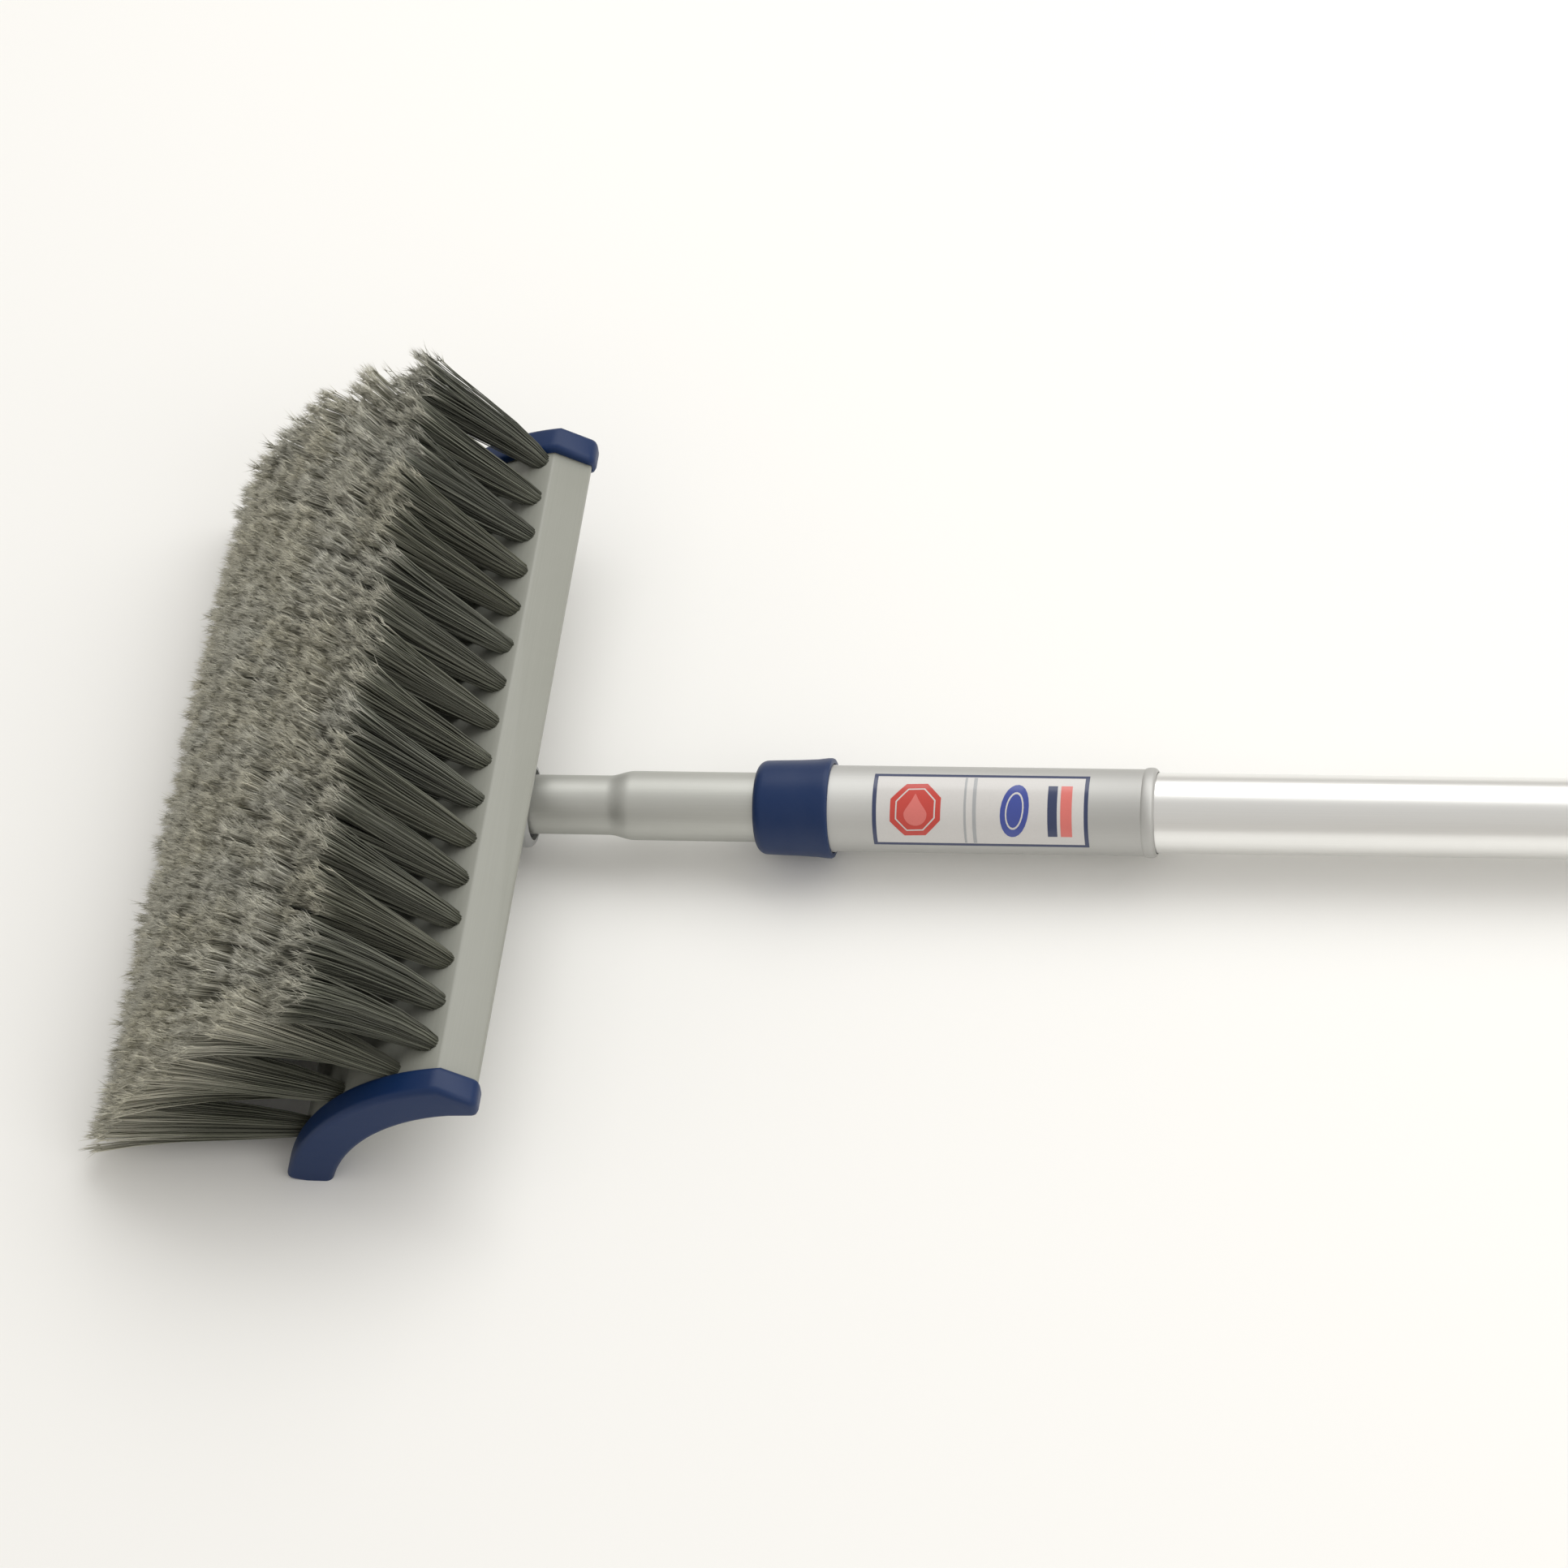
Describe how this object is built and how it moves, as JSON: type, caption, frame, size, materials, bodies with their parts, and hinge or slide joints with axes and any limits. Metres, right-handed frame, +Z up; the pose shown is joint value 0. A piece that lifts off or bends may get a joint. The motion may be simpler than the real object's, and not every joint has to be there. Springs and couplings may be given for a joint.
{
  "type": "telescoping wash brush",
  "caption": "Telescoping flow-through wash brush: curved head with soft bristles and end bumpers, hollow pole with twist lock, foam grip, shut-off valve and hose nut.",
  "frame": {"origin": "on the table, under the middle of the brush's whole length, on the pole's centre plane; the brush lies as in use at rest, with its pole level, on the feet of its two end bumpers and on its grip", "axes": "+X along the pole from the head to the hose connector, +Y along the head, +Z up from the table"},
  "size_m": [0.992, 0.279, 0.0922],
  "materials": {
    "block_plastic": "light grey extruded plastic, satin",
    "navy_plastic": "navy blue moulded plastic, semi-gloss",
    "bristle_fibre": "soft grey flagged filament, tips paler than the shafts",
    "tube_aluminium": "drawn and clear anodised, bright satin",
    "satin_aluminium": "anodised, satin",
    "black_rubber": "matt seal rubber",
    "white_plastic": "natural acetal, satin",
    "grey_plastic": "moulded, satin",
    "steel": "stainless, bright",
    "brass": "turned, lightly polished",
    "grip_foam": "closed-cell foam, matt"
  },
  "bodies": {
    "handle": {"outer_tube": "tube_aluminium", "lock_sleeve": "satin_aluminium", "wiper_ring": "black_rubber", "grip": "grip_foam", "valve_body": "navy_plastic", "plug_oring": "black_rubber", "valve_seat_front": "white_plastic", "valve_seat_rear": "white_plastic", "stem_oring": "black_rubber", "valve_tail": "white_plastic"},
    "slider": {"piston": "white_plastic", "piston_oring_1": "black_rubber", "piston_oring_2": "black_rubber"},
    "brush": {"head_block": "block_plastic", "end_bumper_near": "navy_plastic", "end_bumper_far": "navy_plastic", "end_gasket_near": "black_rubber", "end_gasket_far": "black_rubber", "bristle_row_1": "bristle_fibre", "bristle_row_2": "bristle_fibre", "bristle_row_3": "bristle_fibre", "bristle_row_4": "bristle_fibre", "bristle_row_5": "bristle_fibre", "bristle_row_6": "bristle_fibre", "pole_socket": "grey_plastic", "socket_gasket": "black_rubber", "socket_screw_1": "steel", "socket_screw_2": "steel", "socket_screw_3": "steel", "socket_screw_4": "steel", "neck_pin": "steel", "neck_oring": "black_rubber", "inner_tube": "tube_aluminium"},
    "collet_ring": {"collet": "white_plastic"},
    "nut": {"lock_nut": "navy_plastic"},
    "valve_core": {"valve_ball": "steel", "valve_stem": "brass", "valve_lever": "grey_plastic", "lever_screw": "steel"},
    "hose_coupling": {"hose_nut": "brass", "hose_washer": "black_rubber"}
  },
  "joints": [
    {"name": "telescope", "type": "slide", "parent": "handle", "child": "slider", "axis": [-1, 0, 0], "range_m": [-0.026, 0.55]},
    {"name": "pole_turn", "type": "hinge", "parent": "slider", "child": "brush", "pos_m": [-0.07698, 0, 0.019], "axis": [1, 0, 0], "continuous": true},
    {"name": "lock_advance", "type": "slide", "parent": "handle", "child": "collet_ring", "axis": [-1, 0, 0], "range_m": [0, 0.0012]},
    {"name": "lock_turn", "type": "hinge", "parent": "collet_ring", "child": "nut", "pos_m": [-0.28898, 0, 0.019], "axis": [1, 0, 0], "range_deg": [0, 120]},
    {"name": "valve_turn", "type": "hinge", "parent": "handle", "child": "valve_core", "pos_m": [0.44902, 0, 0.019], "axis": [0, 0, 1], "range_deg": [0, 90]},
    {"name": "hose_nut_turn", "type": "hinge", "parent": "handle", "child": "hose_coupling", "pos_m": [0.48402, 0, 0.019], "axis": [1, 0, 0], "continuous": true}
  ],
  "couplings": [
    {"joint": "lock_turn", "follows": "lock_advance", "rad_per_m": 1745.3}
  ]
}
